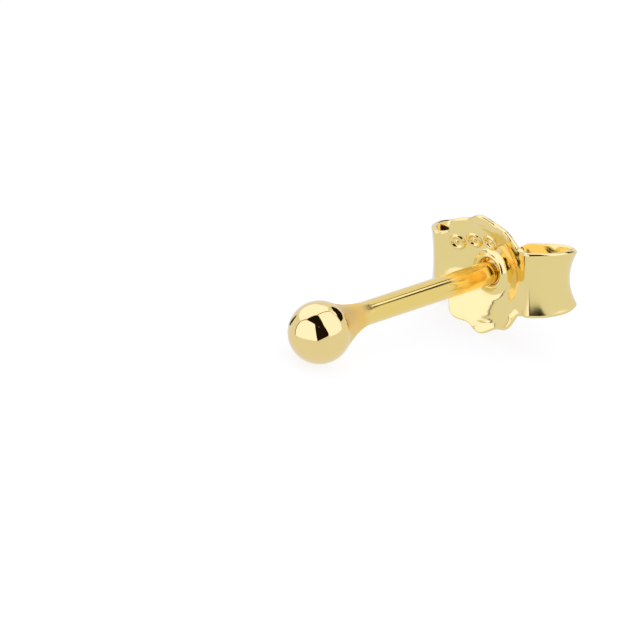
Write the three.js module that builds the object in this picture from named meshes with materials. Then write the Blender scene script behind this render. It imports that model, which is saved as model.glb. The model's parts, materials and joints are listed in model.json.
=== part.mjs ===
import * as THREE from 'three';
import { mergeGeometries, mergeVertices } from 'three/addons/utils/BufferGeometryUtils.js';

// A ball stud earring with its butterfly back on the post, lying at rest.
// The stud is a ball soldered to a round post through a flared neck, one solid.
// The back is one pressed sheet: a lobed, dished disc with a hole for the post, and
// two strips that run out sideways and curl behind the disc until they grip the post.
// Both are built with the post along +Y from the ball to the back, +X across the
// strips and +Z across their width. The earring is then rolled and tilted onto the
// ball and two lobes of the disc. Millimetres.

// Stud
const BALL_RADIUS = 1.0;
const BALL_DROP = 0.12;
const POST_RADIUS = 0.385;
const POST_LENGTH = 10.8;
const TIP_ROUND = 0.22;
const NECK_START = 0.45;
const NECK_END = 2.15;
const NECK_HOLLOW = 1.69;

// Butterfly back: where it sits and its sheet
const BACK_AT = 7.55;
const BACK_LIFT = 0.04;
const SHEET = 0.17;
const HOLE_CLEARANCE = 0.03;
const GRIP_CLEARANCE = 0.03;

// Butterfly back: the disc
const DISC_RADIUS = 1.94;
const NOTCH_DEPTH = 0.13;
const LOBES = 10;
const LOBES_EACH_SIDE = 3;
const LOBE_FLARE = 0.19;
const FLARE_START = 1.30;
const RIDGE_RADIUS = 1.62;
const LEAST_FLANGE = 0.12;
const DISH_DEPTH = 0.37;

// Butterfly back: the strips
const SPAN = 5.43;
const STRIP_HALF_WIDTH = 1.065;
const WAIST_DEPTH = 0.26;
const WAIST_POWER = 2;

// Facets
const AROUND_STUD = 32;
const BALL_STEPS = 12;
const NECK_STEPS = 8;
const TIP_STEPS = 4;
const STEPS_PER_LOBE = 8;
const STEPS_ACROSS_STRIP = 8;
const STEPS_ALONG_STRIP = 42;
const FLANGE_STEPS = 4;
const PATH_STEPS = 900;

const DEGREE = Math.PI / 180;

// The dish from the hole's edge out to its ridge: the radius as a share of that
// width, and the depth below the flange as a share of DISH_DEPTH. A collar stands
// round the hole inside a groove.
const DISH = [
  { at: 0.000, depth: 1.00 },
  { at: 0.050, depth: 0.76 },
  { at: 0.085, depth: 0.70 },
  { at: 0.165, depth: 0.87 },
  { at: 0.270, depth: 1.00 },
  { at: 0.400, depth: 0.93 },
  { at: 0.515, depth: 0.76 },
  { at: 0.645, depth: 0.53 },
  { at: 0.780, depth: 0.28 },
  { at: 0.900, depth: 0.09 },
  { at: 1.000, depth: 0.00 },
];

// A strip from the disc to its inner end. run is the length since the row before, as
// a share of the strip's reach past the disc, heading is the way it runs at the row,
// in degrees from straight out towards the back, and width and waist are shares of
// STRIP_HALF_WIDTH and WAIST_DEPTH. The row marked reach is drawn out until the curl
// meets the post.
const STRIP = [
  { run: 0.00, heading: 0, width: 1.00, waist: 0.00 },
  { run: 0.10, heading: -18, width: 1.00, waist: 0.04 },
  { run: 0.15, heading: -27, width: 1.00, waist: 0.10 },
  { run: 0.14, heading: 17, width: 1.00, waist: 0.15 },
  { run: 0.12, heading: 41, width: 1.00, waist: 0.18 },
  { run: 0.17, heading: 41, width: 1.00, waist: 0.22 },
  { run: 0.38, heading: 61, width: 0.975, waist: 0.36 },
  { run: 0.43, heading: 84, width: 0.94, waist: 0.62 },
  { run: 0.43, heading: 112, width: 0.86, waist: 0.92 },
  { run: 0.21, heading: 144, width: 0.84, waist: 1.00 },
  { run: 0.21, heading: 170, width: 0.85, waist: 0.95 },
  { run: 0.25, heading: 184, width: 0.86, waist: 0.80 },
  { run: 0.25, heading: 198, width: 0.85, waist: 0.62 },
  { run: 0.60, heading: 201, width: 0.80, waist: 0.36, reach: true },
  { run: 0.25, heading: 228, width: 0.70, waist: 0.20 },
  { run: 0.21, heading: 268, width: 0.64, waist: 0.10 },
  { run: 0.30, heading: 320, width: 0.56, waist: 0.00 },
];

const holeRadius = POST_RADIUS + HOLE_CLEARANCE;
const lobePitch = 360 / LOBES * DEGREE;
const neckAngle = Math.PI / 2 - LOBES_EACH_SIDE * lobePitch / 2;
const notchRadius = DISC_RADIUS - NOTCH_DEPTH;
const neckOut = notchRadius * Math.cos(neckAngle);
const neckHalfWidth = notchRadius * Math.sin(neckAngle);

// A smooth curve through rows of rising x that never overshoots between two rows.
function smoothCurve(xs, ys) {
  const last = xs.length - 1;
  const slopes = xs.slice(1).map((x, i) => (ys[i + 1] - ys[i]) / (x - xs[i]));
  const tangents = ys.map((_, i) => {
    if (i === 0) return slopes[0];
    if (i === last) return slopes[last - 1];
    const before = slopes[i - 1];
    const after = slopes[i];
    return before * after > 0 ? 2 * before * after / (before + after) : 0;
  });
  return (x) => {
    const held = Math.min(Math.max(x, xs[0]), xs[last]);
    let i = 0;
    while (i < last - 1 && held > xs[i + 1]) i += 1;
    const width = xs[i + 1] - xs[i];
    const t = (held - xs[i]) / width;
    return (1 + 2 * t) * (1 - t) ** 2 * ys[i] + t * (1 - t) ** 2 * width * tangents[i]
      + t * t * (3 - 2 * t) * ys[i + 1] + t * t * (t - 1) * width * tangents[i + 1];
  };
}

function smoothStep(from, to, x) {
  const t = Math.min(Math.max((x - from) / (to - from), 0), 1);
  return t * t * (3 - 2 * t);
}

// The strip's route in plan: points { out, back, heading } at even lengths, walked
// along the rows' headings. scale turns shares into lengths and extra lengthens the
// row marked reach.
function walkStrip(scale, extra) {
  let total = 0;
  const lengths = STRIP.map((row) => {
    total += row.run * scale + (row.reach ? extra : 0);
    return total;
  });
  const headingAt = smoothCurve(lengths, STRIP.map((row) => row.heading * DEGREE));
  const step = total / PATH_STEPS;
  const points = [{ out: neckOut, back: LOBE_FLARE, heading: headingAt(0) }];
  for (let i = 1; i <= PATH_STEPS; i += 1) {
    const before = points[i - 1];
    const middle = headingAt((i - 0.5) * step);
    points.push({
      out: before.out + Math.cos(middle) * step,
      back: before.back + Math.sin(middle) * step,
      heading: headingAt(i * step),
    });
  }
  return { total, lengths, points };
}

// The strip is scaled to reach the span, then its run behind the disc is drawn out
// until its curl stands GRIP_CLEARANCE off the post.
function bendStrip() {
  const reach = SPAN / 2 - neckOut;
  const trial = walkStrip(reach, 0);
  const scale = reach * reach / (Math.max(...trial.points.map((p) => p.out)) - neckOut);
  let extra = 0;
  for (let pass = 0; pass < 6; pass += 1) {
    const { points } = walkStrip(scale, extra);
    extra += Math.min(...points.map((p) => p.out)) - POST_RADIUS - GRIP_CLEARANCE;
  }
  return walkStrip(scale, extra);
}

const strip = bendStrip();
const widthAt = smoothCurve(strip.lengths, STRIP.map((row, i) => (
  i === 0 ? neckHalfWidth : row.width * STRIP_HALF_WIDTH)));
const waistAt = smoothCurve(strip.lengths, STRIP.map((row) => row.waist * WAIST_DEPTH));
const dishAt = smoothCurve(
  DISH.map((row) => holeRadius + row.at * (RIDGE_RADIUS - holeRadius)),
  DISH.map((row) => row.depth * DISH_DEPTH));

function routeAt(run) {
  const place = Math.min(Math.max(run / strip.total, 0), 1) * PATH_STEPS;
  const i = Math.min(Math.floor(place), PATH_STEPS - 1);
  const a = strip.points[i];
  const b = strip.points[i + 1];
  const t = place - i;
  return {
    out: a.out + (b.out - a.out) * t,
    back: a.back + (b.back - a.back) * t,
    heading: a.heading + (b.heading - a.heading) * t,
  };
}

// How far the front face stands forward of the plain sheet at a point of the flat
// blank: back into the dish, forward at the lobes, and back at the strip's waist.
function reliefAt(x, across) {
  const radius = Math.hypot(x, across);
  const angle = Math.atan2(Math.abs(across), Math.abs(x));
  const onLobes = smoothStep(neckAngle - 0.5 * lobePitch / 3, neckAngle + lobePitch / 3, angle);
  const outward = smoothStep(FLARE_START, DISC_RADIUS, radius) ** 1.5;
  const petal = 0.8 + 0.2 * Math.cos(LOBES * (angle - Math.PI / 2));
  const run = Math.max(Math.abs(x) - neckOut, 0);
  const share = Math.min(Math.abs(across) / widthAt(run), 1);
  return LOBE_FLARE * onLobes * outward * petal - dishAt(radius)
    - waistAt(run) * (1 - share ** WAIST_POWER);
}

// A point of the front face over a point of the blank.
function facePoint(x, across) {
  const side = Math.sign(x) || 1;
  const run = Math.abs(x) - neckOut;
  const route = run > 0 ? routeAt(run) : { out: Math.abs(x), back: LOBE_FLARE, heading: 0 };
  const relief = reliefAt(x, across);
  return new THREE.Vector3(
    side * (route.out + relief * Math.sin(route.heading)),
    route.back - relief * Math.cos(route.heading),
    across);
}

// A point of the sheet at a depth behind its front face.
function sheetPoint(x, across, depth) {
  const nudge = 0.002;
  const alongX = facePoint(x + nudge, across).sub(facePoint(x - nudge, across));
  const alongZ = facePoint(x, across + nudge).sub(facePoint(x, across - nudge));
  const forward = alongX.cross(alongZ).normalize();
  return facePoint(x, across).addScaledVector(forward, -depth);
}

function lobedRadius(angle) {
  const wave = 0.5 + 0.5 * Math.cos(LOBES * (angle - Math.PI / 2));
  return notchRadius + NOTCH_DEPTH * wave;
}

// A flat grid over the blank: place(i, j) gives [x, across] for a column and a row.
function blankGrid(columns, rows, place) {
  const grid = new THREE.PlaneGeometry(1, 1, columns, rows);
  const uv = grid.getAttribute('uv');
  const position = grid.getAttribute('position');
  for (let n = 0; n < position.count; n += 1) {
    const [x, across] = place(Math.round(uv.getX(n) * columns), Math.round(uv.getY(n) * rows));
    position.setXYZ(n, x, across, 0);
  }
  grid.deleteAttribute('uv');
  grid.deleteAttribute('normal');
  return grid;
}

// The angle of each spoke of the disc: even steps across each strip's neck, then
// even angles over the lobes, on both sides.
function spokeAngles() {
  const lobeSteps = LOBES_EACH_SIDE * STEPS_PER_LOBE;
  const angles = [];
  for (const turn of [0, Math.PI]) {
    for (let i = 0; i < STEPS_ACROSS_STRIP; i += 1) {
      const across = (2 * i / STEPS_ACROSS_STRIP - 1) * neckHalfWidth;
      angles.push({ angle: turn + Math.atan2(across, neckOut), atNeck: true });
    }
    for (let i = 0; i < lobeSteps; i += 1) {
      angles.push({ angle: turn + neckAngle + i / lobeSteps * LOBES_EACH_SIDE * lobePitch });
    }
  }
  angles.push({ ...angles[0] });
  return angles;
}

function discBlank() {
  const spokes = spokeAngles();
  const dishSteps = DISH.length - 1;
  return blankGrid(dishSteps + FLANGE_STEPS, spokes.length - 1, (i, j) => {
    const { angle, atNeck } = spokes[j];
    const rim = atNeck ? neckOut / Math.abs(Math.cos(angle)) : lobedRadius(angle);
    const ridge = Math.min(RIDGE_RADIUS, rim - LEAST_FLANGE);
    const inDish = holeRadius + DISH[Math.min(i, dishSteps)].at * (ridge - holeRadius);
    const onFlange = ridge + (rim - ridge) * (i - dishSteps) / FLANGE_STEPS;
    const radius = i <= dishSteps ? inDish : onFlange;
    return [radius * Math.cos(angle), radius * Math.sin(angle)];
  });
}

function stripBlank(side) {
  return blankGrid(STEPS_ALONG_STRIP, STEPS_ACROSS_STRIP, (i, j) => {
    const step = side > 0 ? i : STEPS_ALONG_STRIP - i;
    const run = strip.total * step / STEPS_ALONG_STRIP;
    const across = (2 * j / STEPS_ACROSS_STRIP - 1) * widthAt(run);
    return [side * (neckOut + run), across];
  });
}

// The blank's triangles carried onto both faces of the sheet, with a wall along each
// edge that only one triangle uses.
function pressSheet(blank) {
  const flat = blank.getAttribute('position');
  const index = blank.getIndex().array;
  const count = flat.count;
  const places = [];
  for (const depth of [0, SHEET]) {
    for (let n = 0; n < count; n += 1) {
      places.push(...sheetPoint(flat.getX(n), flat.getY(n), depth).toArray());
    }
  }
  const triangles = [];
  const edges = new Map();
  for (let n = 0; n < index.length; n += 3) {
    const [a, b, c] = [index[n], index[n + 1], index[n + 2]];
    triangles.push(a, b, c, count + a, count + c, count + b);
    for (const [p, q] of [[a, b], [b, c], [c, a]]) {
      if (!edges.delete(`${q},${p}`)) edges.set(`${p},${q}`, [p, q]);
    }
  }
  for (const [p, q] of edges.values()) {
    triangles.push(q, p, count + p, q, count + p, count + q);
  }
  const sheet = new THREE.BufferGeometry();
  sheet.setAttribute('position', new THREE.Float32BufferAttribute(places, 3));
  sheet.setIndex(triangles);
  sheet.computeVertexNormals();
  return sheet;
}

function makeButterflyBack() {
  const blank = mergeVertices(mergeGeometries([discBlank(), stripBlank(1), stripBlank(-1)]), 1e-5);
  return pressSheet(blank);
}

// The neck's radius: the ball's own where it starts, hollowing down to the post.
function neckRadius(y) {
  const start = Math.sqrt(BALL_RADIUS ** 2 - NECK_START ** 2);
  const left = Math.max((NECK_END - y) / (NECK_END - NECK_START), 0);
  return POST_RADIUS + (start - POST_RADIUS) * left ** NECK_HOLLOW;
}

function studProfile() {
  const profile = [new THREE.Vector2(0, -BALL_RADIUS)];
  const reach = Math.PI - Math.acos(NECK_START / BALL_RADIUS);
  for (let i = 1; i <= BALL_STEPS; i += 1) {
    const angle = reach * i / BALL_STEPS;
    profile.push(new THREE.Vector2(BALL_RADIUS * Math.sin(angle), -BALL_RADIUS * Math.cos(angle)));
  }
  for (let i = 1; i <= NECK_STEPS; i += 1) {
    const y = NECK_START + (NECK_END - NECK_START) * i / NECK_STEPS;
    profile.push(new THREE.Vector2(neckRadius(y), y));
  }
  for (let i = 0; i <= TIP_STEPS; i += 1) {
    const angle = Math.PI / 2 * i / TIP_STEPS;
    profile.push(new THREE.Vector2(
      POST_RADIUS - TIP_ROUND * (1 - Math.cos(angle)),
      POST_LENGTH - TIP_ROUND * (1 - Math.sin(angle))));
  }
  profile.push(new THREE.Vector2(0, POST_LENGTH));
  return profile;
}

// The ball is soldered a little off the post's axis, and the neck leads from one
// centre to the other.
function makeStud() {
  const stud = new THREE.LatheGeometry(studProfile(), AROUND_STUD);
  const position = stud.getAttribute('position');
  for (let n = 0; n < position.count; n += 1) {
    const share = 1 - smoothStep(NECK_START, NECK_END, position.getY(n));
    position.setZ(n, position.getZ(n) - BALL_DROP * share);
  }
  stud.deleteAttribute('normal');
  stud.deleteAttribute('uv');
  const merged = mergeVertices(stud, 1e-5);
  merged.computeVertexNormals();
  return merged;
}

// The tilt that brings the back's lowest point and the ball onto one floor, once the
// earring is rolled by roll about its post. Each corner of the back asks for a tilt,
// and the one that asks for most is what the back rests on.
function restTilt(back, roll) {
  const ballHeight = -BALL_DROP * Math.cos(roll);
  const position = back.getAttribute('position');
  let tilt = 0;
  for (let n = 0; n < position.count; n += 1) {
    const y = BACK_AT + position.getY(n);
    const across = BACK_LIFT + position.getZ(n);
    const height = across * Math.cos(roll) + position.getX(n) * Math.sin(roll) - ballHeight;
    const distance = Math.hypot(y, height);
    tilt = Math.max(tilt, -Math.asin(BALL_RADIUS / distance) - Math.atan2(height, y));
  }
  return tilt;
}

const gold = new THREE.MeshStandardMaterial({ color: 0xe6cd86, roughness: 0.12, metalness: 1 });
const sheetGold = new THREE.MeshStandardMaterial({ color: 0xe0c070, roughness: 0.18, metalness: 1 });

const ballStud = new THREE.Mesh(makeStud(), gold);
ballStud.name = 'ball_stud';

const butterflyBack = new THREE.Mesh(makeButterflyBack(), sheetGold);
butterflyBack.name = 'butterfly_back';
butterflyBack.position.set(0, BACK_AT, BACK_LIFT);

// Two neighbouring lobes share the floor, so the earring rolls half a lobe's pitch.
const roll = lobePitch / 2;
const rolled = new THREE.Group();
rolled.rotation.y = -roll;
rolled.add(ballStud, butterflyBack);

const tilted = new THREE.Group();
tilted.rotation.x = restTilt(butterflyBack.geometry, roll);
tilted.add(rolled);

const earring = new THREE.Group();
earring.name = 'ball_stud_earring';
earring.add(tilted);
earring.updateMatrixWorld(true);

// The origin is under the middle of the earring, on the surface it rests on.
const bounds = new THREE.Box3().setFromObject(earring, true);
const middle = bounds.getCenter(new THREE.Vector3());
earring.position.set(-middle.x, -middle.y, -bounds.min.z);
earring.updateMatrixWorld(true);

export default earring;
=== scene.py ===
"""A polished gold ball stud lying on a pale floor with its butterfly back on the post."""
import json
import math

import bpy
import numpy as np
from mathutils import Matrix, Vector


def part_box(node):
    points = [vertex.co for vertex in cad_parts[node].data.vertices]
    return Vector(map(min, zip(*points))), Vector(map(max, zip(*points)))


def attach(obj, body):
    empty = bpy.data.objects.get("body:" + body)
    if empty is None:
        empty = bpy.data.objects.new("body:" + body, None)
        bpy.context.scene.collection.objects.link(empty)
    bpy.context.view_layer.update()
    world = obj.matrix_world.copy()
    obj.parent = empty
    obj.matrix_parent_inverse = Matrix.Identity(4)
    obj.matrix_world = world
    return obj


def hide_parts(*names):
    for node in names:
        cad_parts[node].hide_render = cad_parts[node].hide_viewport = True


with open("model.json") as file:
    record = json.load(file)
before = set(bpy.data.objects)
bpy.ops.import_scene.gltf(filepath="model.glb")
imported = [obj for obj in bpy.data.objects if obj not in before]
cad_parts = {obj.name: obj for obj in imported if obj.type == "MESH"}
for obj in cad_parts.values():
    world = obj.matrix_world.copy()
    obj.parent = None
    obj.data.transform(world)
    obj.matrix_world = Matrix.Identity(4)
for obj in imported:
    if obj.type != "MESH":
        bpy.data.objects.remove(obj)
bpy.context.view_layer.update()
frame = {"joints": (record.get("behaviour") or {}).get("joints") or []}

# The sizes below are in millimetres and the meshes in metres.
MM = 0.001

# Stud
BALL_RADIUS = 1.0
BALL_DROP = 0.12
POST_RADIUS = 0.385
POST_LENGTH = 10.8
TIP_ROUND = 0.22
NECK_START = 0.45
NECK_END = 2.15
NECK_HOLLOW = 1.69

# Butterfly back
BACK_AT = 7.55
BACK_LIFT = 0.04
SHEET = 0.17
EDGE_ROUND = 0.05
HOLE_CLEARANCE = 0.03
HOLE_ROUND = 0.015
GRIP_CLEARANCE = 0.03
DISC_RADIUS = 1.94
NOTCH_DEPTH = 0.13
LOBES = 10
LOBES_EACH_SIDE = 3
LOBE_FLARE = 0.19
FLARE_START = 1.30
RIDGE_RADIUS = 1.62
LEAST_FLANGE = 0.12
FLARE_POWER = 1.5
PETAL_SHARE = 0.2
DISH_DEPTH = 0.37
SPAN = 5.43
STRIP_HALF_WIDTH = 1.065
WAIST_DEPTH = 0.26
WAIST_POWER = 2

# The dish from the hole's edge to its ridge: places as shares of that width and depths
# as shares of DISH_DEPTH.
DISH = np.array([
    (0.000, 1.00),
    (0.050, 0.76),
    (0.085, 0.70),
    (0.165, 0.87),
    (0.270, 1.00),
    (0.400, 0.93),
    (0.515, 0.76),
    (0.645, 0.53),
    (0.780, 0.28),
    (0.900, 0.09),
    (1.000, 0.00),
])

# A strip from the disc to its inner end: the length since the row before as a share of
# its reach, its heading in degrees, and shares of STRIP_HALF_WIDTH and WAIST_DEPTH.
STRIP = np.array([
    (0.00, 0, 1.00, 0.00),
    (0.10, -18, 1.00, 0.04),
    (0.15, -27, 1.00, 0.10),
    (0.14, 17, 1.00, 0.15),
    (0.12, 41, 1.00, 0.18),
    (0.17, 41, 1.00, 0.22),
    (0.38, 61, 0.975, 0.36),
    (0.43, 84, 0.94, 0.62),
    (0.43, 112, 0.86, 0.92),
    (0.21, 144, 0.84, 1.00),
    (0.21, 170, 0.85, 0.95),
    (0.25, 184, 0.86, 0.80),
    (0.25, 198, 0.85, 0.62),
    (0.60, 201, 0.80, 0.36),
    (0.25, 228, 0.70, 0.20),
    (0.21, 268, 0.64, 0.10),
    (0.30, 320, 0.56, 0.00),
])
# The row that is drawn out until the curl stands GRIP_CLEARANCE from the post, and how
# often its length is corrected.
REACHING_ROW = 13
REACHING_PASSES = 6

# Three small ringed bosses in a row across the upper disc: places across and up.
BOSSES = ((-1.12, 0.80), (-0.54, 0.94), (0.08, 0.98))
BOSS_RING = 0.20
BOSS_WALL = 0.085
BOSS_RISE = 0.07

# How finely the surfaces are laid out.
AROUND_STUD = 160
BALL_STEPS = 110
NECK_STEPS = 60
POST_STEPS = 24
TIP_STEPS = 14
DISH_STEPS = 70
FLANGE_STEPS = 22
STEPS_PER_LOBE = 32
STEPS_ACROSS_STRIP = 44
STEPS_ALONG_STRIP = 170
EDGE_STEPS = 6
PATH_STEPS = 900
# Half the distance between the points that a normal is worked out from.
NORMAL_NUDGE = 0.002
# Points of the blank that share a place on a grid of this many steps a millimetre are one.
WELD_STEPS = 1e5
# The strips' edge rounding sets in over this length from the neck.
INSET_LENGTH = 4 * EDGE_ROUND

hole_radius = POST_RADIUS + HOLE_CLEARANCE
lobe_pitch = 2 * math.pi / LOBES
neck_angle = math.pi / 2 - LOBES_EACH_SIDE * lobe_pitch / 2
notch_radius = DISC_RADIUS - NOTCH_DEPTH
neck_out = notch_radius * math.cos(neck_angle)
neck_half_width = notch_radius * math.sin(neck_angle)


def rest_matrix():
    """The turn and place of the earring at rest: local +Y is the post.

    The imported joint's axis gives the tilt, two lobes that share the floor give the roll,
    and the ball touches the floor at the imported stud's near end.
    """
    axis = frame["joints"][0]["axis"]
    tilt = math.atan2(axis[2], axis[1])
    turn = Matrix.Rotation(tilt, 4, "X") @ Matrix.Rotation(-lobe_pitch / 2, 4, "Y")
    across = turn @ Vector((0, 0, 1))
    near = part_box("ball_stud")[0].y
    sideways = (BACK_LIFT + BALL_DROP) * MM * -across.x
    ball = Vector((sideways, near + BALL_RADIUS * MM, BALL_RADIUS * MM))
    foot = ball + across * BALL_DROP * MM
    return Matrix.Translation(foot) @ turn


REST = rest_matrix()


def smooth_curve(xs, ys):
    """A curve through the points (xs, ys) that never overshoots between two of them.

    Each stretch is a cubic whose end slopes are harmonic means of the slopes beside them.
    """
    xs = np.asarray(xs, float)
    ys = np.asarray(ys, float)
    slopes = np.diff(ys) / np.diff(xs)
    tangents = np.zeros_like(ys)
    same_way = slopes[1:] * slopes[:-1] > 0
    product = (slopes[1:] * slopes[:-1])[same_way]
    tangents[1:-1][same_way] = 2 * product / (slopes[1:] + slopes[:-1])[same_way]
    tangents[0] = slopes[0]
    tangents[-1] = slopes[-1]

    def at(x):
        x = np.clip(x, xs[0], xs[-1])
        i = np.clip(np.searchsorted(xs, x, side="right") - 1, 0, len(xs) - 2)
        width = xs[i + 1] - xs[i]
        t = (x - xs[i]) / width
        return (
            (1 + 2 * t) * (1 - t) ** 2 * ys[i]
            + t * (1 - t) ** 2 * width * tangents[i]
            + t * t * (3 - 2 * t) * ys[i + 1]
            + t * t * (t - 1) * width * tangents[i + 1]
        )

    return at


def smooth_step(low, high, x):
    """0 below low, 1 above high and a smooth 3t^2 - 2t^3 between them."""
    t = np.clip((x - low) / (high - low), 0, 1)
    return t * t * (3 - 2 * t)


def walk_strip(scale, extra):
    """The strip's route in plan, summed from small steps along the rows' headings."""
    runs = STRIP[:, 0] * scale
    runs[REACHING_ROW] += extra
    lengths = np.cumsum(runs)
    heading_at = smooth_curve(lengths, np.radians(STRIP[:, 1]))
    along = np.linspace(0, lengths[-1], PATH_STEPS + 1)
    middle = heading_at((along[1:] + along[:-1]) / 2)
    out = neck_out + np.r_[0, np.cumsum(np.cos(middle)) * along[1]]
    back = LOBE_FLARE + np.r_[0, np.cumsum(np.sin(middle)) * along[1]]
    return lengths, along, out, back, heading_at(along)


def bend_strip():
    """The route scaled to the span, then drawn out until the curl stands clear of the post."""
    reach = SPAN / 2 - neck_out
    scale = reach * reach / (walk_strip(reach, 0)[2].max() - neck_out)
    extra = 0.0
    for _ in range(REACHING_PASSES):
        extra += walk_strip(scale, extra)[2].min() - POST_RADIUS - GRIP_CLEARANCE
    return walk_strip(scale, extra)


strip_lengths, route_along, route_out, route_back, route_heading = bend_strip()
strip_total = route_along[-1]
width_at = smooth_curve(strip_lengths, np.r_[neck_half_width, STRIP[1:, 2] * STRIP_HALF_WIDTH])
waist_at = smooth_curve(strip_lengths, STRIP[:, 3] * WAIST_DEPTH)
dish_at = smooth_curve(
    hole_radius + DISH[:, 0] * (RIDGE_RADIUS - hole_radius), DISH[:, 1] * DISH_DEPTH
)


def boss_relief(x, across):
    """Each boss is a round-topped ring with a round dot in its middle: height times a
    cosine bump of the distance from the ring's line, or from the centre."""
    relief = np.zeros(np.broadcast(x, across).shape)
    for boss_x, boss_across in BOSSES:
        distance = np.hypot(x - boss_x, across - boss_across)
        for line in (BOSS_RING, 0.0):
            offset = np.clip(np.abs(distance - line) / BOSS_WALL, 0, 1)
            relief += BOSS_RISE * (0.5 + 0.5 * np.cos(np.pi * offset))
    return relief


def relief_at(x, across):
    """How far the front face stands forward of the plain sheet over the flat blank.

    Lobes flare forward with radius and angle, the dish and the strip's waist go back, and
    the bosses stand up from it.
    """
    radius = np.hypot(x, across)
    angle = np.arctan2(np.abs(across), np.abs(x))
    on_lobes = smooth_step(neck_angle - lobe_pitch / 6, neck_angle + lobe_pitch / 3, angle)
    outward = smooth_step(FLARE_START, DISC_RADIUS, radius) ** FLARE_POWER
    petal = 1 - PETAL_SHARE + PETAL_SHARE * np.cos(LOBES * (angle - np.pi / 2))
    run = np.maximum(np.abs(x) - neck_out, 0)
    share = np.minimum(np.abs(across) / width_at(run), 1)
    waist = waist_at(run) * (1 - share ** WAIST_POWER)
    flare = LOBE_FLARE * on_lobes * outward * petal
    return flare - dish_at(radius) - waist + boss_relief(x, across)


def face_point(x, across):
    """The front face over a point of the blank: the route's place there, moved along its
    normal by the relief."""
    side = np.where(x < 0, -1.0, 1.0)
    run = np.abs(x) - neck_out
    on_strip = run > 0
    out = np.where(on_strip, np.interp(run, route_along, route_out), np.abs(x))
    back = np.where(on_strip, np.interp(run, route_along, route_back), LOBE_FLARE)
    heading = np.where(on_strip, np.interp(run, route_along, route_heading), 0.0)
    relief = relief_at(x, across)
    return np.stack([
        side * (out + relief * np.sin(heading)),
        back - relief * np.cos(heading),
        across + 0 * x,
    ], axis=-1)


def face_normal(x, across):
    """The front face's unit normal, from the cross product of two small differences."""
    along_x = face_point(x + NORMAL_NUDGE, across) - face_point(x - NORMAL_NUDGE, across)
    along_z = face_point(x, across + NORMAL_NUDGE) - face_point(x, across - NORMAL_NUDGE)
    normal = np.cross(along_x, along_z)
    return normal / np.linalg.norm(normal, axis=-1, keepdims=True)


def spoke_angles():
    """The disc's spokes: even steps across each neck, then even angles over the lobes."""
    steps = np.arange(STEPS_ACROSS_STRIP) / STEPS_ACROSS_STRIP
    neck = np.arctan2((2 * steps - 1) * neck_half_width, neck_out)
    lobe_steps = LOBES_EACH_SIDE * STEPS_PER_LOBE
    lobes = neck_angle + np.arange(lobe_steps) / lobe_steps * LOBES_EACH_SIDE * lobe_pitch
    half = np.r_[neck, lobes]
    at_neck = np.r_[np.ones(len(neck), bool), np.zeros(len(lobes), bool)]
    return np.r_[half, half + np.pi], np.r_[at_neck, at_neck]


def grid_faces(columns, rows):
    """Quads of a grid whose points run along a column first."""
    i, j = np.meshgrid(np.arange(columns), np.arange(rows), indexing="ij")
    corner = i * (rows + 1) + j
    return np.stack([corner, corner + rows + 1, corner + rows + 2, corner + 1], -1).reshape(-1, 4)


def disc_blank():
    """The disc's flat grid: spokes by rings, out to the lobed rim or the line of a neck."""
    angles, at_neck = spoke_angles()
    wave = 0.5 + 0.5 * np.cos(LOBES * (angles - np.pi / 2))
    rim = np.where(
        at_neck,
        neck_out / np.abs(np.cos(np.where(at_neck, angles, 0))),
        notch_radius - EDGE_ROUND + NOTCH_DEPTH * wave,
    )
    ridge = np.minimum(RIDGE_RADIUS, rim - LEAST_FLANGE)[:, None]
    inner = hole_radius + HOLE_ROUND
    in_dish = inner + (ridge - inner) * np.arange(DISH_STEPS + 1) / DISH_STEPS
    flange = ridge + (rim[:, None] - ridge) * np.arange(1, FLANGE_STEPS + 1) / FLANGE_STEPS
    radius = np.concatenate([in_dish, flange], axis=1)
    x = radius * np.cos(angles)[:, None]
    across = radius * np.sin(angles)[:, None]
    closed = np.r_[np.arange(len(angles)), 0]
    points = np.stack([x, across], -1)[closed]
    faces = grid_faces(len(angles), DISH_STEPS + FLANGE_STEPS)[:, ::-1]
    return points.reshape(-1, 2), faces


def strip_blank(side):
    """A strip's flat grid: steps along it by steps across its width."""
    run = strip_total * np.arange(STEPS_ALONG_STRIP + 1) / STEPS_ALONG_STRIP
    share = 2 * np.arange(STEPS_ACROSS_STRIP + 1) / STEPS_ACROSS_STRIP - 1
    inset = EDGE_ROUND * smooth_step(0, INSET_LENGTH, run)
    across = share * (width_at(run) - inset)[:, None]
    x = side * (neck_out + run)[:, None] + 0 * across
    faces = grid_faces(STEPS_ALONG_STRIP, STEPS_ACROSS_STRIP)
    return np.stack([x, across], -1).reshape(-1, 2), faces if side > 0 else faces[:, ::-1]


def weld(points, faces):
    """Joins points of the blank that lie together."""
    keys = np.round(points * WELD_STEPS).astype(np.int64)
    _, first, where = np.unique(keys, axis=0, return_index=True, return_inverse=True)
    return points[first], where.reshape(-1)[faces]


def blank_sheet():
    """The whole blank: the disc and both strips, welded along the necks."""
    parts = [disc_blank(), strip_blank(1), strip_blank(-1)]
    starts = np.cumsum([0] + [len(points) for points, _ in parts[:-1]])
    points = np.concatenate([points for points, _ in parts])
    faces = np.concatenate([faces + start for (_, faces), start in zip(parts, starts)])
    return weld(points, faces)


def rim_edges(faces):
    """The directed edges that only one face uses."""
    edges = np.stack([faces, np.roll(faces, -1, axis=1)], -1).reshape(-1, 2)
    count = faces.max() + 1
    forward = edges[:, 0] * count + edges[:, 1]
    backward = edges[:, 1] * count + edges[:, 0]
    return edges[~np.isin(forward, backward)]


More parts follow.
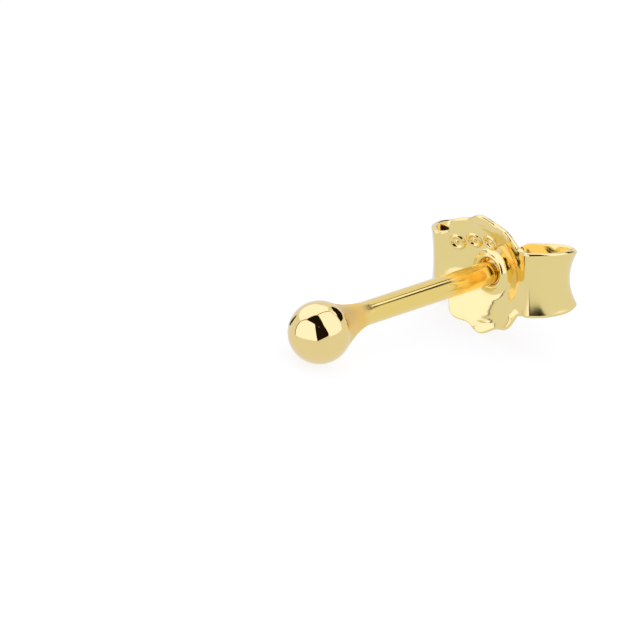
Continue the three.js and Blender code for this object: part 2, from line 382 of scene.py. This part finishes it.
def pressed_sheet():
    """The sheet as one closed skin: a front face, a back face SHEET behind it, and half an
    ellipse of rows from one to the other round every rim, bulging by EDGE_ROUND, or by
    HOLE_ROUND in the hole."""
    blank, faces = blank_sheet()
    x, across = blank[:, 0], blank[:, 1]
    normal = face_normal(x, across)
    front = face_point(x, across)
    back = front - normal * SHEET
    edges = rim_edges(faces)
    rim, place = np.unique(edges, return_inverse=True)
    place = place.reshape(-1, 2)
    tangent = np.zeros((len(rim), 3))
    step = front[edges[:, 1]] - front[edges[:, 0]]
    step /= np.linalg.norm(step, axis=1, keepdims=True)
    np.add.at(tangent, place[:, 0], step)
    np.add.at(tangent, place[:, 1], step)
    outward = np.cross(tangent, normal[rim])
    outward /= np.linalg.norm(outward, axis=1, keepdims=True)
    in_hole = np.hypot(x, across)[rim] < RIDGE_RADIUS / 2
    outward *= np.where(in_hole, HOLE_ROUND, EDGE_ROUND)[:, None]
    middle = (front[rim] + back[rim]) / 2
    half = (front[rim] - back[rim]) / 2
    rows = []
    for k in range(1, EDGE_STEPS):
        turn = math.pi * k / EDGE_STEPS
        rows.append(middle + half * math.cos(turn) + outward * math.sin(turn))
    count = len(front)
    points = np.concatenate([front, back] + rows)
    first = 2 * count + np.arange(len(rim))
    ladder = [rim] + [first + k * len(rim) for k in range(EDGE_STEPS - 1)] + [rim + count]
    walls = []
    for upper, lower in zip(ladder[:-1], ladder[1:]):
        a, b = upper[place[:, 0]], upper[place[:, 1]]
        c, d = lower[place[:, 1]], lower[place[:, 0]]
        walls.append(np.stack([b, a, d, c], -1))
    skin = np.concatenate([faces, faces[:, ::-1] + count] + walls)
    return points + np.array([0, BACK_AT, BACK_LIFT]), skin


def stud_profile():
    """Radius and place along the post: a circle for the ball, a power curve for the neck,
    a straight post and a quarter circle at the tip."""
    reach = math.pi - math.acos(NECK_START / BALL_RADIUS)
    turn = reach * np.arange(1, BALL_STEPS + 1) / BALL_STEPS
    ball = np.stack([BALL_RADIUS * np.sin(turn), -BALL_RADIUS * np.cos(turn)], -1)
    along = NECK_START + (NECK_END - NECK_START) * np.arange(1, NECK_STEPS + 1) / NECK_STEPS
    left = (NECK_END - along) / (NECK_END - NECK_START)
    start = math.sqrt(BALL_RADIUS ** 2 - NECK_START ** 2)
    neck = np.stack([POST_RADIUS + (start - POST_RADIUS) * left ** NECK_HOLLOW, along], -1)
    bare = NECK_END + (POST_LENGTH - TIP_ROUND - NECK_END) * np.arange(1, POST_STEPS) / POST_STEPS
    post = np.stack([np.full(len(bare), POST_RADIUS), bare], -1)
    turn = math.pi / 2 * np.arange(TIP_STEPS + 1) / TIP_STEPS
    tip = np.stack([
        POST_RADIUS - TIP_ROUND * (1 - np.cos(turn)),
        POST_LENGTH - TIP_ROUND * (1 - np.sin(turn)),
    ], -1)
    return np.concatenate([ball, neck, post, tip])


def turned_stud():
    """The profile carried round the post, with the ball's end moved down by BALL_DROP and
    the drop fading out along the neck. Each end closes on one point."""
    profile = stud_profile()
    turn = 2 * np.pi * np.arange(AROUND_STUD) / AROUND_STUD
    radius, along = profile[:, 0][:, None], profile[:, 1][:, None]
    share = 1 - smooth_step(NECK_START, NECK_END, along)
    points = np.stack([
        radius * np.cos(turn),
        along + 0 * turn,
        radius * np.sin(turn) - BALL_DROP * share,
    ], -1).reshape(-1, 3)
    rings = len(profile)
    i, j = np.meshgrid(np.arange(rings - 1), np.arange(AROUND_STUD), indexing="ij")
    beside = (j + 1) % AROUND_STUD
    quads = np.stack([
        i * AROUND_STUD + j,
        (i + 1) * AROUND_STUD + j,
        (i + 1) * AROUND_STUD + beside,
        i * AROUND_STUD + beside,
    ], -1).reshape(-1, 4)
    poles = np.array([[0, -BALL_RADIUS, -BALL_DROP], [0, POST_LENGTH, 0]])
    around = np.arange(AROUND_STUD)
    near, far = len(points), len(points) + 1
    last = (rings - 1) * AROUND_STUD
    next_round = (around + 1) % AROUND_STUD
    cap_near = np.stack([np.full(AROUND_STUD, near), around, next_round], -1)
    cap_far = np.stack([np.full(AROUND_STUD, far), last + next_round, last + around], -1)
    return np.concatenate([points, poles]), quads, np.concatenate([cap_near, cap_far])


def make_piece(name, points, polygons, material, body, node):
    """A smooth-shaded mesh at rest in the frame, riding on a body in place of a CAD node."""
    place = np.array(REST)
    world = points * MM @ place[:3, :3].T + place[:3, 3]
    mesh = bpy.data.meshes.new(name)
    mesh.from_pydata(world.tolist(), [], polygons)
    mesh.polygons.foreach_set("use_smooth", np.ones(len(mesh.polygons), bool))
    mesh.update()
    mesh.materials.append(material)
    piece = bpy.data.objects.new(name, mesh)
    bpy.context.scene.collection.objects.link(piece)
    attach(piece, body)
    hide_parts(node)


def socket(group, name, kind, inward, value=None):
    """Adds one named socket to a node group."""
    made = group.interface.new_socket(
        name=name, in_out="INPUT" if inward else "OUTPUT", socket_type=kind
    )
    if value is not None:
        made.default_value = value


# Where the polish's cloud goes from the smooth to the rough end of a gold.
CLOUD_LOW = 0.35
CLOUD_HIGH = 0.65


def polish_group():
    """What polishing leaves on gold: a soft cloud mask and a fine height of faint waves."""
    group = bpy.data.node_groups.new("gold_polish", "ShaderNodeTree")
    socket(group, "Vector", "NodeSocketVector", True)
    socket(group, "Cloud Scale", "NodeSocketFloat", True, 900.0)
    socket(group, "Wave Scale", "NodeSocketFloat", True, 2500.0)
    socket(group, "Cloud", "NodeSocketFloat", False)
    socket(group, "Height", "NodeSocketFloat", False)
    nodes, links = group.nodes, group.links
    given = nodes.new("NodeGroupInput")
    result = nodes.new("NodeGroupOutput")
    cloud = nodes.new("ShaderNodeTexNoise")
    cloud.inputs["Detail"].default_value = 3
    wave = nodes.new("ShaderNodeTexNoise")
    wave.inputs["Detail"].default_value = 2
    wave.inputs["Roughness"].default_value = 0.4
    links.new(given.outputs["Vector"], cloud.inputs["Vector"])
    links.new(given.outputs["Cloud Scale"], cloud.inputs["Scale"])
    links.new(given.outputs["Vector"], wave.inputs["Vector"])
    links.new(given.outputs["Wave Scale"], wave.inputs["Scale"])
    links.new(cloud.outputs["Fac"], result.inputs["Cloud"])
    links.new(wave.outputs["Fac"], result.inputs["Height"])
    return group


def gold_material(name, polish, tint, deep_tint, smooth, rough, wave_scale, wave_depth):
    """Polished gold: two close tints and two roughnesses mixed by the polish's cloud, and
    a bump from its waves, wave_depth metres deep."""
    material = bpy.data.materials.new(name)
    material.use_nodes = True
    nodes, links = material.node_tree.nodes, material.node_tree.links
    shader = nodes["Principled BSDF"]
    shader.inputs["Metallic"].default_value = 1.0
    place = nodes.new("ShaderNodeTexCoord")
    marks = nodes.new("ShaderNodeGroup")
    marks.node_tree = polish
    marks.inputs["Wave Scale"].default_value = wave_scale
    links.new(place.outputs["Object"], marks.inputs["Vector"])
    colour = nodes.new("ShaderNodeMix")
    colour.data_type = "RGBA"
    colour.inputs["A"].default_value = (*tint, 1)
    colour.inputs["B"].default_value = (*deep_tint, 1)
    links.new(marks.outputs["Cloud"], colour.inputs["Factor"])
    links.new(colour.outputs["Result"], shader.inputs["Base Color"])
    gloss = nodes.new("ShaderNodeMapRange")
    gloss.inputs["From Min"].default_value = CLOUD_LOW
    gloss.inputs["From Max"].default_value = CLOUD_HIGH
    gloss.inputs["To Min"].default_value = smooth
    gloss.inputs["To Max"].default_value = rough
    links.new(marks.outputs["Cloud"], gloss.inputs["Value"])
    links.new(gloss.outputs["Result"], shader.inputs["Roughness"])
    bump = nodes.new("ShaderNodeBump")
    bump.inputs["Distance"].default_value = wave_depth
    links.new(marks.outputs["Height"], bump.inputs["Height"])
    links.new(bump.outputs["Normal"], shader.inputs["Normal"])
    return material


def finish_post(material, roughness_at, tint, painted_reflection_from, painted_reflection_to):
    """Changes a gold along the post. roughness_at gives places in mm from the ball's middle and
    the roughness added there, and the base colour turns to tint, a deeper orange that is painted
    reflection of gold light on the post, from painted_reflection_from to painted_reflection_to."""
    nodes, links = material.node_tree.nodes, material.node_tree.links
    shader = nodes["Principled BSDF"]
    along = REST.to_3x3() @ Vector((0, 1, 0))
    ball = (REST @ Vector((0, 0, -BALL_DROP * MM))).dot(along)
    place = nodes.new("ShaderNodeTexCoord")
    reach = nodes.new("ShaderNodeVectorMath")
    reach.operation = "DOT_PRODUCT"
    reach.inputs[1].default_value = along
    links.new(place.outputs["Object"], reach.inputs[0])
    share = nodes.new("ShaderNodeMapRange")
    share.inputs["From Min"].default_value = ball
    share.inputs["From Max"].default_value = ball + POST_LENGTH * MM
    links.new(reach.outputs["Value"], share.inputs["Value"])
    brushed = nodes.new("ShaderNodeValToRGB")
    stops = brushed.color_ramp.elements
    while len(stops) < len(roughness_at):
        stops.new(0.5)
    for stop, (at, extra) in zip(stops, roughness_at):
        stop.position = at / POST_LENGTH
        stop.color = (extra, extra, extra, 1)
    links.new(share.outputs["Result"], brushed.inputs["Fac"])
    total = nodes.new("ShaderNodeMath")
    total.operation = "ADD"
    links.new(shader.inputs["Roughness"].links[0].from_socket, total.inputs[0])
    links.new(brushed.outputs["Color"], total.inputs[1])
    links.new(total.outputs["Value"], shader.inputs["Roughness"])
    # Painted reflection: the base colour turns to a deeper orange along the post, in place of gold
    # light bounced onto it.
    deep = nodes.new("ShaderNodeMapRange")
    deep.interpolation_type = "SMOOTHSTEP"
    deep.inputs["From Min"].default_value = ball + painted_reflection_from * MM
    deep.inputs["From Max"].default_value = ball + painted_reflection_to * MM
    links.new(reach.outputs["Value"], deep.inputs["Value"])
    colour = nodes.new("ShaderNodeMix")
    colour.data_type = "RGBA"
    colour.inputs["B"].default_value = (*tint, 1)
    links.new(deep.outputs["Result"], colour.inputs["Factor"])
    links.new(shader.inputs["Base Color"].links[0].from_socket, colour.inputs["A"])
    links.new(colour.outputs["Result"], shader.inputs["Base Color"])


# The photograph's view of the earring: how far the camera stands round and above the
# post, its focal length in pixels, where the ball falls in the frame and how far off it is.
FRAME_PIXELS = 640
VIEW_ROUND = math.radians(41.9)
VIEW_UP = math.radians(17.3)
FOCAL_PIXELS = 9293.0
BALL_PIXEL = (319.5, 332.35)
BALL_DISTANCE = 289.5
SENSOR_WIDTH = 36.0
CLIP_START = 0.01
CLIP_END = 10


def photo_axes():
    """Right, up and towards the camera at the photograph's angle, in the part's frame."""
    sideways = Vector((1, 0, 0))
    post = Vector((0, 1, 0))
    upright = Vector((0, 0, 1))
    right = sideways * math.cos(VIEW_ROUND) + post * math.sin(VIEW_ROUND)
    level = sideways * math.sin(VIEW_ROUND) - post * math.cos(VIEW_ROUND)
    up = upright * math.cos(VIEW_UP) - level * math.sin(VIEW_UP)
    towards = level * math.cos(VIEW_UP) + upright * math.sin(VIEW_UP)
    turn = REST.to_3x3()
    return turn @ right, turn @ up, turn @ towards


def make_camera():
    """A long lens at the photograph's angle, aimed so that the ball falls on its pixel:
    the optical axis leans by the pixel's offset over the focal length."""
    right, up, towards = photo_axes()
    ball = REST @ Vector((0, 0, -BALL_DROP * MM))
    centre = FRAME_PIXELS / 2
    aim = -towards
    aim = aim - right * ((BALL_PIXEL[0] - centre) / FOCAL_PIXELS)
    aim = (aim + up * ((BALL_PIXEL[1] - centre) / FOCAL_PIXELS)).normalized()
    side = aim.cross(up).normalized()
    top = side.cross(aim)
    turn = Matrix((side, top, -aim)).transposed().to_4x4()
    camera = bpy.data.cameras.new("camera")
    camera.sensor_width = SENSOR_WIDTH
    camera.lens = FOCAL_PIXELS * SENSOR_WIDTH / FRAME_PIXELS
    camera.clip_start = CLIP_START
    camera.clip_end = CLIP_END
    holder = bpy.data.objects.new("camera", camera)
    holder.matrix_world = Matrix.Translation(ball + towards * BALL_DISTANCE * MM) @ turn
    bpy.context.scene.collection.objects.link(holder)
    bpy.context.scene.camera = holder


def emission_material(name, colour, strength):
    """The even glow of a card, white or nearly black."""
    material = bpy.data.materials.new(name)
    material.use_nodes = True
    nodes, links = material.node_tree.nodes, material.node_tree.links
    nodes.clear()
    glow = nodes.new("ShaderNodeEmission")
    glow.inputs["Color"].default_value = (*colour, 1)
    glow.inputs["Strength"].default_value = strength
    output = nodes.new("ShaderNodeOutputMaterial")
    links.new(glow.outputs["Emission"], output.inputs["Surface"])
    return material


CARD_EDGE_STEPS = 6
CARD_RINGS = (0.02, 0.25, 0.5, 0.75, 1.0)


def card(name, ways, distance, material):
    """A studio card that follows a sphere round the ball: its edge runs through the ways
    given in short steps, and rings of quads close in from it towards the middle way."""
    right, up, towards = photo_axes()
    ball = np.array(REST @ Vector((0, 0, -BALL_DROP * MM)))
    azimuth, height = np.radians(np.array(ways, float)).T
    axes = np.array([right, up, towards])
    corners = np.stack([
        np.sin(azimuth) * np.cos(height),
        np.sin(height),
        np.cos(azimuth) * np.cos(height),
    ], -1)
    steps = np.arange(CARD_EDGE_STEPS)[:, None] / CARD_EDGE_STEPS
    edge = corners[:, None] * (1 - steps) + np.roll(corners, -1, axis=0)[:, None] * steps
    edge = edge.reshape(-1, 3)
    rings = [corners.mean(axis=0) * (1 - share) + edge * share for share in CARD_RINGS]
    points = np.concatenate(rings)
    points /= np.linalg.norm(points, axis=1, keepdims=True)
    points = points @ axes * distance * MM + ball
    count = len(edge)
    i, j = np.meshgrid(np.arange(len(rings) - 1), np.arange(count), indexing="ij")
    beside = (j + 1) % count
    quads = np.stack([
        i * count + j, (i + 1) * count + j, (i + 1) * count + beside, i * count + beside,
    ], -1).reshape(-1, 4)
    mesh = bpy.data.meshes.new(name)
    mesh.from_pydata(points.tolist(), [], quads.tolist())
    mesh.materials.append(material)
    made = bpy.data.objects.new(name, mesh)
    bpy.context.scene.collection.objects.link(made)
    made.visible_camera = False
    made.visible_diffuse = False
    made.visible_shadow = False


# The studio round the earring. A way is given in degrees: round from the camera to its
# right, and up from its line of sight.
BOARD_DISTANCE = 420.0
BLACK_DISTANCE = 415.0
WHITE_BOARDS = {
    "board_left": [
        (-84, 28), (-27, 43), (-19, 32), (-13, 0), (-8, -31), (-36, -26), (-66, -18), (-97, -6),
        (-92, 14),
    ],
    "board_right": [
        (-8, 66), (94, 63), (90, 47), (91, 31), (89, 8), (64, -5), (37, -14), (33, -4), (17, 24),
    ],
    "board_top": [
        (-86, 31), (-63, 44), (-34, 63), (-9, 69), (100, 67), (146, 62), (175, 64), (-165, 52),
        (-140, 38), (-120, 36),
    ],
    "board_behind": [(97, 42), (104, 46), (111, 50), (112, 60), (104, 62), (97, 50)],
}
BLACK_CARDS = {
    "gap": [
        (-62, 40), (-33, 61), (-10, 64), (-1, 56), (17, 24), (33, -4), (33, -12), (14, -22),
        (0, -29), (-8, -33), (-13, 0), (-19, 32), (-25, 42),
    ],
    "gap_right": [
        (96, 26), (95, 31), (95, 37), (99, 43), (104, 45), (111, 49), (115, 54), (142, 54),
        (149, 46), (148, 36), (140, 30), (120, 27),
    ],
    "gap_left": [(-134, 30), (-138, 22), (-148, 11), (-152, 7), (-140, 8), (-129, 17), (-126, 27)],
    "seam_left": [(-87, 28), (-84, 28), (-92, 14), (-97, -6), (-100, -6), (-95, 14)],
    "seam_top": [(-86, 29), (-63, 42), (-62, 44), (-86, 31)],
    "seam_right": [(-10, 65), (94, 63), (94, 65), (-10, 68)],
}
BOARD_COLOUR = (0.62, 0.64, 1.0)
BOARD_LIGHT = 2.0
BLACK_COLOUR = (0.012, 0.009, 0.006)


def make_studio():
    """White boards round the earring, and just inside them black cards: the gap that the
    camera looks in through, the dark beyond the boards' ends, and the seams between them."""
    board = emission_material("board_light", BOARD_COLOUR, BOARD_LIGHT)
    black = emission_material("black_card", BLACK_COLOUR, 1.0)
    for name, ways in WHITE_BOARDS.items():
        card(name, ways, BOARD_DISTANCE, board)
    for name, ways in BLACK_CARDS.items():
        card(name, ways, BLACK_DISTANCE, black)


ROOM_COLOUR = (0.75, 0.81, 1.0)
ROOM_LIGHT = 1.07


def make_world():
    """An even pale room, slightly cool, as daylight is to gold."""
    world = bpy.data.worlds.new("room")
    world.use_nodes = True
    background = world.node_tree.nodes["Background"]
    background.inputs["Color"].default_value = (*ROOM_COLOUR, 1)
    background.inputs["Strength"].default_value = ROOM_LIGHT
    bpy.context.scene.world = world


FLOOR_REACH = 1500.0
FLOOR_COLOUR = (0.32, 0.31, 0.30)
FLOOR_GLOW = 0.765


def make_floor():
    """A wide floor with a glow that whitens it and keeps shadows faint, as in a bright
    product shot. The gold mirrors the room's even light in its place."""
    reach = FLOOR_REACH * MM
    mesh = bpy.data.meshes.new("floor")
    mesh.from_pydata(
        [(-reach, -reach, 0), (reach, -reach, 0), (reach, reach, 0), (-reach, reach, 0)],
        [], [(0, 1, 2, 3)],
    )
    material = bpy.data.materials.new("floor_paper")
    material.use_nodes = True
    shader = material.node_tree.nodes["Principled BSDF"]
    shader.inputs["Base Color"].default_value = (*FLOOR_COLOUR, 1)
    shader.inputs["Roughness"].default_value = 1.0
    shader.inputs["Specular IOR Level"].default_value = 0.0
    shader.inputs["Emission Color"].default_value = (1, 1, 1, 1)
    shader.inputs["Emission Strength"].default_value = FLOOR_GLOW
    mesh.materials.append(material)
    floor = bpy.data.objects.new("floor", mesh)
    bpy.context.scene.collection.objects.link(floor)
    floor.visible_glossy = False


polish = polish_group()
ball_gold = gold_material(
    "polished_gold", polish, tint=(0.95, 0.70, 0.26), deep_tint=(0.94, 0.685, 0.24),
    smooth=0.02, rough=0.04, wave_scale=1500.0, wave_depth=2e-7,
)
# A mirror ball, a brushed neck, and a polished post that grows rougher near the back.
POST_ROUGHNESS = (
    (0.0, 0.0), (0.28, 0.0), (0.52, 0.50), (1.60, 0.70), (2.25, 0.025), (5.2, 0.03), (6.6, 0.15),
)
# The post's deeper orange tint is painted reflection of gold light bounced onto the post, not a
# different gold.
finish_post(ball_gold, POST_ROUGHNESS, tint=(0.97, 0.69, 0.18), painted_reflection_from=0.2, painted_reflection_to=1.6)
sheet_gold = gold_material(
    "pressed_gold", polish, tint=(0.93, 0.715, 0.255), deep_tint=(0.92, 0.70, 0.235),
    smooth=0.09, rough=0.14, wave_scale=2200.0, wave_depth=1e-6,
)

stud_points, stud_quads, stud_caps = turned_stud()
make_piece(
    "gold_stud", stud_points, stud_quads.tolist() + stud_caps.tolist(),
    ball_gold, "stud", "ball_stud",
)
sheet_points, sheet_quads = pressed_sheet()
make_piece(
    "gold_butterfly", sheet_points, sheet_quads.tolist(),
    sheet_gold, "back", "butterfly_back",
)

make_world()
make_floor()
make_studio()
make_camera()
bpy.context.scene.view_settings.view_transform = "Standard"


def corners(box):
    """A box's corners as plain lists."""
    return [[float(value) for value in corner] for corner in box]
